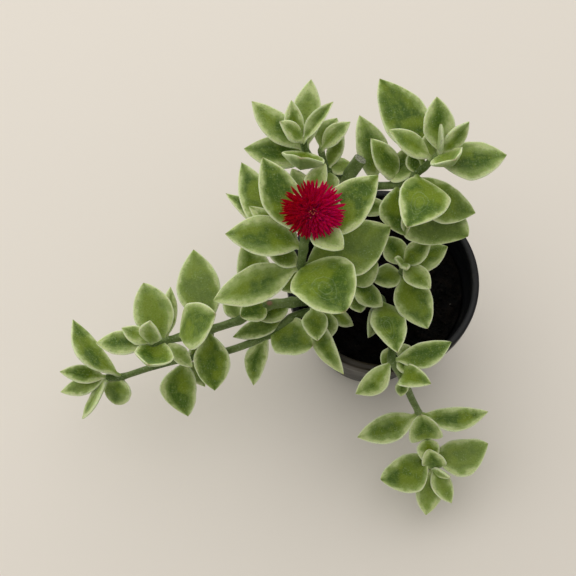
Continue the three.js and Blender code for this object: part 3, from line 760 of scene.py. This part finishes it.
# Pruned stem: the thick main stem at the back, cut off flat a little above its last joint. Two side
# branches grew from below the cut, one to the left and one to the right, with leaves in pairs.
PRUNED = [
    {
        "points": [[-8, 17, 34], [-9, 18, 50], [-12, 19.5, 72], [-14, 20, 88], [-13.7, 20, 93],
            [-10, 23.2, 99.5]],
        "thick": 2.4, "thin": 2.1, "bud": 0,
        "leaves": [[2, -3, 0, 14, 7]],
    },
    {
        "points": [[-14, 20, 91], [-20, 21.5, 95], [-24, 22.5, 100], [-26.5, 23.5, 104],
            [-27.5, 24.5, 108]],
        "thick": 1.4, "thin": 0.9,
        "leaves": [
            [2, 168, -3, 22, 11], [3, 138, 10, 22.5, 9, 0.04], [3, 86, 16, 22, 9, 0.03],
            [3, -103, 55, 14, 13, 0, 0, -0.25, 0.4], [4, 46, 33, 15, 4.6, 0, 0, 0.03, 1.2],
            [4, 110, 37, 13, 6, 0.09], [4, 160, 48, 11, 6], [1, 26, -14, 8.5, 6.5],
            [1, -100, -10, 8.5, 9],
        ],
    },
    {
        "points": [[-20, 21.5, 95], [-21, 23, 98], [-22, 24.7, 102]],
        "thick": 1.1, "thin": 0.9,
        "leaves": [[2, 62, 20, 11, 7, 0.1], [2, 37, 30, 12.5, 6, 0.03, 0, 0.03, 0.4], [0, 65, 25, 13, 5]],
    },
    {
        "points": [[-14, 20, 89], [-6, 18, 91.5], [1.5, 17, 95], [6.5, 18.5, 99], [9, 19.5, 101.5],
            [11, 20.5, 104.5], [13, 21, 107]],
        "thick": 1.4, "thin": 0.9,
        "leaves": [
            [1, 100, 15, 22.5, 10, -0.09], [2, 128, 33, 16.5, 8, -0.03],
            [2, -80, -24, 16, 10.5, -0.12], [3, -40.4, -30.6, 26.7, 18.7, -0.2, 19, -0.013, 0.07],
            [3, -101.3, 23.5, 23.9, 15.2, 0.154, -2], [3, 158, -28, 11, 8.5],
            [3, -26.3, -20.6, 22.8, 13, -0.17], [4, 115, 8, 31, 14.5, -0.04], [5, 158, 30, 17, 7.5],
            [5, 4, 0, 22.5, 12.6, -0.075], [6, 96, 32, 17, 9.5],
            [6, -60, 50, 9.5, 11, 0, 0, -0.2, 0.4], [6, 41, 38, 13, 6, 0, 40],
            [6, 100, 63, 11, 4, 0, 70], [2, 76, 22, 11.5, 6.5], [3, 96, 30, 7.5, 5.5],
            [5, 105, 25, 8, 5.5],
        ],
    },
]
shoot("pruned_stem", "stem_pruned", PRUNED, 12, imprints=((3, 4),))

# Upper left stem: a long shoot that roots in the soil, hangs out over the left of the rim and ends in a
# rosette. It is bare near the pot, where a fallen leaf left a pinkish scar.
LEFT_UPPER = {
    "points": [[-19, -3.5, 34], [-19.5, -4, 48], [-24.5, -8.5, 58.5], [-31, -11, 64],
        [-39, -12.5, 65], [-48, -17, 64], [-57.5, -20, 63], [-67, -22.5, 63], [-71.5, -24, 64],
        [-75.5, -25.5, 66]],
    "thick": 1.9, "thin": 1.1,
    "leaves": [
        [4, 111, 24, 22.5, 11.5], [3, -155, -17, 12, 8], [4, -150, 20, 10, 8.5], [5, 120, 15, 9, 6],
        [6, 102, 11, 27, 14.3, 0.03], [6, -86, -37, 21.5, 12], [7, 11, 53, 21.5, 15],
        [8, 112, 18, 20, 13, 0.02], [8, 88, -5, 19, 6, 0, 30],
        [8, -108, 44, 16, 12.5, -0.06, 0, -0.2, 0.3], [8, -40, -35, 13, 5.5],
        [9, 178, -6, 18.5, 8.5], [9, 157, 22, 11, 6], [9, 75, 75, 14, 7.5],
    ],
}
LEAF_SCAR = np.array([-38.0, -12.0, 66.6])
shoot("left_upper_stem", "stem_left_upper", [LEFT_UPPER], 13, scar=LEAF_SCAR)

# Lower left stem: a second long shoot, thinner than the first. It roots just in front of that one and
# sags below it towards the floor, with leaves at most joints.
LEFT_LOWER = {
    "points": [[-17, -9, 34], [-18, -10, 48], [-25, -12.5, 58.5], [-31, -15.5, 61], [-38, -20, 58],
        [-51.5, -24, 52.5], [-66, -25.5, 48], [-78.5, -28, 45], [-88.5, -31, 44], [-93, -31.5, 45]],
    "thick": 1.5, "thin": 1.0,
    "leaves": [
        [4, -22, 20, 16, 13.5, 0.05], [3, -167, -19, 21, 7], [4, -112, -43, 20.5, 7.6, -0.09],
        [6, -91, -36, 21.3, 12.5, -0.14], [6, 45, 15, 13, 8, 0, 60], [6, -53, -55, 15, 5],
        [8, 132, 14, 25.5, 12, 0.22, 45], [8, -111, -45, 11.5, 10], [9, 177, 18, 16, 6.5],
        [9, -165, -10, 17, 6.5, 0.03], [9, -125, -24, 17, 8, 0.1, 48],
    ],
}
shoot("left_lower_stem", "stem_left_lower", [LEFT_LOWER], 14)

# Front stem: it lies over the front of the rim and hangs down outside, with a pair of leaves at every
# joint and a cluster at its tip.
FRONT = {
    "points": [[1, -4, 34], [0.5, -5, 46], [-1, -7, 55], [1, -16, 58.5], [2, -25, 62],
        [1.5, -30, 62.5], [5.5, -34.5, 56], [9.3, -39, 46.5], [12.5, -42.5, 39], [16, -49, 30],
        [17.5, -54.5, 24], [18.5, -58, 21]],
    "thick": 1.5, "thin": 1.0,
    "leaves": [
        [2, -82, 36, 29, 11.5], [2, -108, 4, 14.5, 7, 0, -40], [5, 16, 5, 20, 8.6, -0.09],
        [5, -17, -28, 9, 5.5], [5, -142, -35, 17.5, 8, 0.1],
        [6, -27, 46, 12.7, 7.8, 0, 8, 0.28, 0.45], [6, -95, -40, 6.5, 4.5],
        [8, -160, -8, 22.5, 10, 0.055], [8, 1, 2, 23.5, 8.5, -0.11],
        [9, 117, 56, 12, 11.6, -0.03, -24, 0.11, 0.5], [9, -82, -25, 9, 8],
        [10, 11, 5, 21, 13.3, -0.15], [10, -155, -6, 19, 13.5, 0.14],
        [11, 112, 61, 10.7, 8.6, -0.12, -24, 0.095, 0.19], [11, -97, -20, 17, 9.5],
        [11, -62, -4, 14, 7.5], [11, -40, 45, 10, 4, 0, 70], [4, -115, -30, 8, 5],
        [4, -30, -10, 9, 5.5],
    ],
}
shoot("front_stem", "stem_front", [FRONT], 15, imprints=((0, 0),))

# Right shoot: a short upright one that roots in the soil right of the middle. Its leaves stand in pairs
# round the top of a thin stem.
CENTRE_RIGHT = {
    "points": [[6, -1, 34], [6.5, -1, 50], [5.5, -1, 64], [5, -1, 72]],
    "thick": 1.4, "thin": 1.0,
    "leaves": [
        [2, -68, 0, 20.5, 12.7, -0.03], [3, 119, 10, 10.5, 8.5], [3, 31, 45, 13.5, 7.5],
        [2, 28, 13, 17.5, 9.8, 0.03], [2, -163, 11, 10.5, 8.5], [3, -50, 18, 13, 8],
        [3, -175, 65, 8, 3.5], [3, -84, 60, 8, 3.5],
    ],
}
shoot("centre_right_stem", "stem_centre_right", [CENTRE_RIGHT], 16)

# Left shoot: a short one that roots in the soil at the left and leans towards the rim. The flowering
# stem hides most of it, and one narrow leaf hangs out over the rim.
UNDER_LEFT = {
    "points": [[-15, -12, 34], [-16, -13, 48], [-19, -12, 58], [-24, -13, 65]],
    "thick": 1.3, "thin": 0.9,
    "leaves": [
        [3, -84, 20, 13.5, 8.5], [2, -95, 12, 11.5, 8], [3, -64, -16, 24, 7.5, -0.065, 30],
        [2, -24, -22, 10.5, 5.5],
    ],
}
shoot("under_left_stem", "stem_under_left", [UNDER_LEFT], 17)

# Middle shoot: a short upright one near the middle of the pot, with three small leaves on a thin stem.
# It stands under the broad leaves of the flowering stem.
MIDDLE = {
    "points": [[-9, -2, 34], [-9.5, -2.5, 48], [-10.5, -3.5, 57], [-11, -4.5, 63]],
    "thick": 1.2, "thin": 0.9,
    "leaves": [[3, 34, 30, 11.5, 9], [3, -37, 0, 12.5, 8], [2, -76, 21, 11, 8.5]],
}
shoot("middle_stem", "stem_middle", [MIDDLE], 18)

# Flower: one crimson bloom, open among the top leaves. Narrow pointed petals stand in six layers on a
# low disc, flat outside and steep towards the middle, over a green cup with five small fleshy sepals.
FLOWER_CENTRE = np.array([-24.8, 1.2, 110.4])
FLOWER_AXIS = np.array([-0.03, -0.46, 0.89])
PETAL_RINGS = 12
PETAL_LAST_RING = 0.985
PETAL_HALF_WIDTH = 0.42
PETAL_THICKNESS = 0.11
PETAL_TROUGH = 0.4
PETAL_FOOT_LEVEL = 0.9
PETAL_WIDE_FROM = 0.45
PETAL_CLOSES_FROM = 0.68
# Each layer: number of petals, where they start and end, their lift and first heading in degrees.
PETAL_LAYERS = np.array([
    (44, 2.4, 9.9, 4, 0),
    (42, 2.2, 9.7, 13, 5),
    (38, 1.9, 8.4, 24, 2),
    (32, 1.5, 7.0, 37, 9),
    (26, 1.2, 6.1, 51, 4),
    (18, 1.0, 4.9, 65, 11),
])
# Painted sheen: between these places across the bloom the crimson turns to a brighter magenta.
SHEEN_SIDE = (-31.0, -18.0)
CRIMSON = (0.185, 0.0001, 0.006)
MAGENTA_SHEEN = (0.46, 0.0003, 0.052)
PETAL_STREAK = (0.10, 0.0001, 0.004)
# Painted light at the petal feet, lifting the shade among the inner petals.
PETAL_FOOT_LIGHT = (0.74, 0.0012, 0.040)
DISC_SPOT = (0.5, 0.3, 0.5)
SEPALS = [(10, 6.2), (82, 5.2), (150, 6.0), (228, 5.4), (300, 5.0)]
SEPAL_RING = 2.3
SEPAL_LEVEL = -2.2
SEPAL_RISE = 24
SEPAL_WIDTH = 3.2
SEPAL_ARCH = 0.06
SEPAL_CUP = 0.35

flower_up = FLOWER_AXIS / np.linalg.norm(FLOWER_AXIS)
flower_over = np.cross([1.0, 0.0, 0.0], flower_up)
flower_over /= np.linalg.norm(flower_over)
flower_side = np.cross(flower_over, flower_up)


def on_flower(places):
    """Places given as two distances across the flower's axis and one along it, from its centre."""
    return FLOWER_CENTRE + places @ np.stack([flower_side, flower_over, flower_up])


def petals(rng):
    """All petals at once. Each runs outwards from the disc along its lift, bowed by half a sine wave and
    swung to one side by the square of the way out. Its section is a shallow trough with rounded margins,
    and its half width rises smoothly from a narrow foot and closes by a quarter cosine to the tip.
    The petals at the front are the shortest."""
    count = PETAL_LAYERS[:, 0].astype(int)
    inner, reach, lift, start = np.repeat(PETAL_LAYERS[:, 1:], count, axis=0).T
    number = np.concatenate([np.arange(n) for n in count])
    total = count.sum()
    turn = np.radians(start + 360 * (number + rng.uniform(-0.25, 0.25, total)) / np.repeat(count, count))
    lift = np.radians(lift + rng.normal(0, 2.5, total))
    reach = reach * rng.uniform(0.9, 1.0, total) * (1 - 0.08 * np.sin(turn) - 0.07 * np.sin(turn) ** 2)
    width = PETAL_HALF_WIDTH * rng.uniform(0.8, 1.05, total)
    bow = rng.uniform(0.1, 0.6, total)
    swing = rng.normal(0, 0.35, total)
    out = np.stack([np.cos(turn), np.sin(turn), 0 * turn], axis=-1)
    left = np.stack([-np.sin(turn), np.cos(turn), 0 * turn], axis=-1)
    up = np.array([0.0, 0.0, 1.0])
    along = out * np.cos(lift)[:, None] + up * np.sin(lift)[:, None]
    normal = np.cross(along, left)
    share = np.linspace(0, 1, PETAL_RINGS)
    share[-1] = PETAL_LAST_RING
    share = share[None, :, None]
    far = inner[:, None, None] + (reach - inner)[:, None, None] * share
    middle = along[:, None] * far + normal[:, None] * (bow[:, None, None] * np.sin(np.pi * share))
    middle = middle + left[:, None] * (swing[:, None, None] * share ** 2) + PETAL_FOOT_LEVEL * up
    open_up = np.clip(share / PETAL_WIDE_FROM, 0, 1)
    tip_share = np.clip((share - PETAL_CLOSES_FROM) / (1 - PETAL_CLOSES_FROM), 0, 1)
    closing = np.cos(np.pi / 2 * tip_share) ** 0.7
    half = width[:, None, None] * (0.5 + 0.5 * open_up ** 2 * (3 - 2 * open_up)) * closing
    side = np.array([1.0, 0.6, 0.0, -0.6, -1.0, -0.6, 0.0, 0.6])
    face = np.array([0.0, 1.0, 1.0, 1.0, 0.0, -1.0, -1.0, -1.0])
    lift_up = PETAL_TROUGH * half * side ** 2 + PETAL_THICKNESS * face * np.sqrt(1 - side ** 2) * closing
    rings = middle[:, :, None] + left[:, None, None] * (half * side)[..., None]
    rings = rings + normal[:, None, None] * lift_up[..., None]
    bodies = []
    for each, tone in zip(rings, rng.random(total)):
        body = skin(on_flower(each))
        way = np.concatenate([np.repeat(share.ravel(), len(side)), [0, 1]])
        across = np.concatenate([np.tile(side, PETAL_RINGS), [0, 0]])
        body["petal_spot"] = np.stack([way, across, tone + 0 * way], axis=-1)
        bodies.append(body)
    return gathered(bodies)


def crimson_silk():
    """Petals: deep crimson that turns to a brighter magenta towards one side of the bloom, a painted sheen
    on that side, darker in fine streaks along the petal, brighter towards the foot as painted light that
    lifts the shade among the inner petals, with a silky sheen."""
    material, tree, shader = finish("crimson_silk", {
        "Specular IOR Level": 0.03, "Subsurface Weight": 0.6, "Subsurface Radius": (0.9, 0.02, 0.06),
        "Subsurface Scale": 0.0025, "Sheen Weight": 0.12, "Sheen Roughness": 0.4,
        "Sheen Tint": (1.0, 0.03, 0.22, 1.0),
    })
    way, across, tone = parts_of(tree, stored(tree, "petal_spot")["Vector"])
    lines = vector_of(tree, way, product(tree, across, 4.0), product(tree, tone, 50.0))
    streak = grain(tree, lines, 2.0, 3)
    east = parts_of(tree, place_on(tree))[0]
    colour = layered(
        tree, CRIMSON,
        # Painted sheen: brighter magenta towards one side of the bloom.
        (east, SHEEN_SIDE[0] * MM, SHEEN_SIDE[1] * MM, 1.0, MAGENTA_SHEEN),
        (streak, 0.5, 0.75, 0.5, PETAL_STREAK),
        # Painted light: brighter towards the petal feet, lifting their shade.
        (way, 0.8, 0.1, 0.9, PETAL_FOOT_LIGHT),
    )
    feed(tree, shader.inputs["Base Color"], colour)
    feed(tree, shader.inputs["Roughness"], ramp(tree, streak, 0.3, 0.7, 0.42, 0.6))
    relief(tree, shader, streak, 0.08, 0.8)
    return material


flower_rng = np.random.default_rng(21)
disc_outline = rounded([(0.02, 0, 0), (2.8, 0, 0.3), (3.4, 0.8, 0.3), (2.4, 1.9, 0.5), (0.02, 1.9, 0)])
disc = skin(on_flower(turned(disc_outline, 40)))
disc["petal_spot"] = np.tile(DISC_SPOT, (len(disc["points"]), 1))
bloom = gathered([petals(flower_rng), disc])
piece("flower_petals_fine", bloom, crimson_silk(), "petals", "flower_petals")

cup_outline = rounded([
    (0.02, -5.4, 0), (1.5, -5.2, 0.4), (2.9, -3.4, 0.7), (3.1, -1.6, 0.6), (2.8, -0.3, 0.2),
    (0.02, -0.3, 0),
])
cup = skin(on_flower(turned(cup_outline, 48)))
cup["stem_cut"] = cup["stem_scar"] = np.zeros(len(cup["points"]))
piece("flower_cup", cup, stem_skin, "foliage")
sepals = []
for heading, length in SEPALS:
    # The flower's two sideways axes run against x and y, hence the minus signs.
    turn = np.radians(heading)
    foot = on_flower(np.array([-SEPAL_RING * np.cos(turn), -SEPAL_RING * np.sin(turn), SEPAL_LEVEL]))
    sepals.append(leaf(flower_rng, foot, heading, SEPAL_RISE, length, SEPAL_WIDTH,
                       arch=SEPAL_ARCH, cup=SEPAL_CUP))
piece("flower_sepals", gathered(sepals), leaf_skin, "foliage")

# Stamens: a short tuft in the middle of the disc. Thin crimson threads lean outwards from a small
# pad, and each carries a pale, dusty anther.
STAMENS = 12
STAMEN_LENGTH = 2.0
STAMEN_RADIUS = 0.11
STAMEN_RINGS = 7
STAMEN_SIDES = 8
GOLDEN_SHARE = 0.382
ANTHER_HALF = np.array([0.2, 0.2, 0.3])
PAD_LEVEL = 2.2
THREAD_RED = (0.42, 0.02, 0.03)
ANTHER_ORANGE = (0.55, 0.13, 0.07)
ANTHER_DUST = (0.70, 0.26, 0.16)


def threads(rng):
    """Each thread rises from the pad along a line that leans outwards, bent by the square of the way up,
    and its radius halves towards the top. Its anther is a lump on the end. One thread stands a golden
    share of a turn on from the last."""
    share = np.linspace(0, 1, STAMEN_RINGS)[:, None]
    turn = 2 * np.pi * np.arange(STAMEN_SIDES) / STAMEN_SIDES
    around = np.stack([np.cos(turn), np.sin(turn), 0 * turn], axis=-1)
    corners, faces = lump()
    parts = []
    for i in range(STAMENS):
        heading = 2 * np.pi * (i + rng.uniform(-0.3, 0.3)) * GOLDEN_SHARE
        lean = rng.uniform(0.1, 0.75)
        length = STAMEN_LENGTH * rng.uniform(0.7, 1.0)
        out = np.array([np.cos(heading), np.sin(heading), 0.0])
        foot = out * rng.uniform(0.1, 0.5) + np.array([0, 0, PAD_LEVEL + 0.3])
        bend = 0.5 * share + 0.5 * share ** 2
        path = foot + share * length * np.array([0, 0, 1.0]) + out * length * bend * lean
        thread = skin(on_flower(path[:, None] + (STAMEN_RADIUS * (1 - 0.5 * share))[:, :, None] * around))
        thread["stamen_tip"] = np.zeros(len(thread["points"]))
        tip = path[-1] + corners * ANTHER_HALF * rng.uniform(0.85, 1.15, (len(corners), 1))
        anther = {"points": on_flower(tip), "quads": np.zeros((0, 4), int), "fans": faces}
        anther["stamen_tip"] = np.ones(len(corners))
        parts += [thread, anther]
    return parts


def pollen_dust():
    """Crimson threads, and paler orange-pink anthers with a dusty grain."""
    material, tree, shader = finish("pollen_dust", {
        "Roughness": 0.7, "Specular IOR Level": 0.3, "Subsurface Weight": 0.2,
        "Subsurface Radius": (0.9, 0.4, 0.2), "Subsurface Scale": 0.0005,
    })
    dust = grain(tree, place_on(tree), 5000, 3)
    colour = tinted(tree, stored(tree, "stamen_tip")["Fac"], THREAD_RED, ANTHER_ORANGE)
    feed(tree, shader.inputs["Base Color"], layered(tree, colour, (dust, 0.5, 0.7, 0.4, ANTHER_DUST)))
    relief(tree, shader, dust, 0.08, 0.8)
    return material


pad_top = PAD_LEVEL + 0.6
pad_outline = rounded([
    (0.02, PAD_LEVEL, 0), (0.9, PAD_LEVEL, 0.1), (0.7, pad_top, 0.2), (0.02, pad_top, 0),
])
pad = skin(on_flower(turned(pad_outline, 24)))
pad["stamen_tip"] = np.zeros(len(pad["points"]))
tuft = gathered([pad] + threads(np.random.default_rng(33)))
piece("flower_stamens_fine", tuft, pollen_dust(), "stamens", "flower_stamens")

# Stage: a plain pale floor, a broad soft light from the back left, a pale surround, and a camera that
# looks down on the plant from the front at 71 degrees.
FLOOR_HALF = 2.0
FLOOR_COLOUR = (0.80, 0.745, 0.665, 1.0)
LAMP_PLACE = (-0.28, 0.52, 0.98)
LAMP_SIZE = 2.2
LAMP_POWER = 14.0
LAMP_COLOUR = (1.0, 0.985, 0.96)
SURROUND_COLOUR = (1.0, 0.99, 0.975, 1.0)
SURROUND_STRENGTH = 0.43
CAMERA_PLACE = (-0.0320, -0.1129, 0.3744)
CAMERA_TILT = 19.0
CAMERA_LENS = 62.5
SENSOR_WIDTH = 36.0

floor_mesh = bpy.data.meshes.new("floor")
corners = [(x * FLOOR_HALF, y * FLOOR_HALF, 0.0) for x, y in ((-1, -1), (1, -1), (1, 1), (-1, 1))]
floor_mesh.from_pydata(corners, [], [(0, 1, 2, 3)])
pale_floor, _, _ = finish("pale_floor", {
    "Base Color": FLOOR_COLOUR, "Roughness": 0.65, "Specular IOR Level": 0.2,
})
floor_mesh.materials.append(pale_floor)
placed("floor", floor_mesh)

lamp_data = bpy.data.lights.new("window_light", "AREA")
lamp_data.shape = "DISK"
lamp_data.size = LAMP_SIZE
lamp_data.energy = LAMP_POWER
lamp_data.color = LAMP_COLOUR
lamp = placed("window_light", lamp_data)
lamp.location = LAMP_PLACE
lamp.rotation_euler = (-lamp.location).to_track_quat("-Z", "Y").to_euler()

world = bpy.data.worlds.new("surround")
world.use_nodes = True
surround = world.node_tree.nodes["Background"]
surround.inputs["Color"].default_value = SURROUND_COLOUR
surround.inputs["Strength"].default_value = SURROUND_STRENGTH
bpy.context.scene.world = world
bpy.context.scene.view_settings.view_transform = "Standard"

camera_data = bpy.data.cameras.new("camera")
camera_data.sensor_width = SENSOR_WIDTH
camera_data.lens = CAMERA_LENS
camera_data.clip_start = 0.01
camera = placed("camera", camera_data)
camera.location = CAMERA_PLACE
camera.rotation_euler = (np.radians(CAMERA_TILT), 0.0, 0.0)
bpy.context.scene.camera = camera
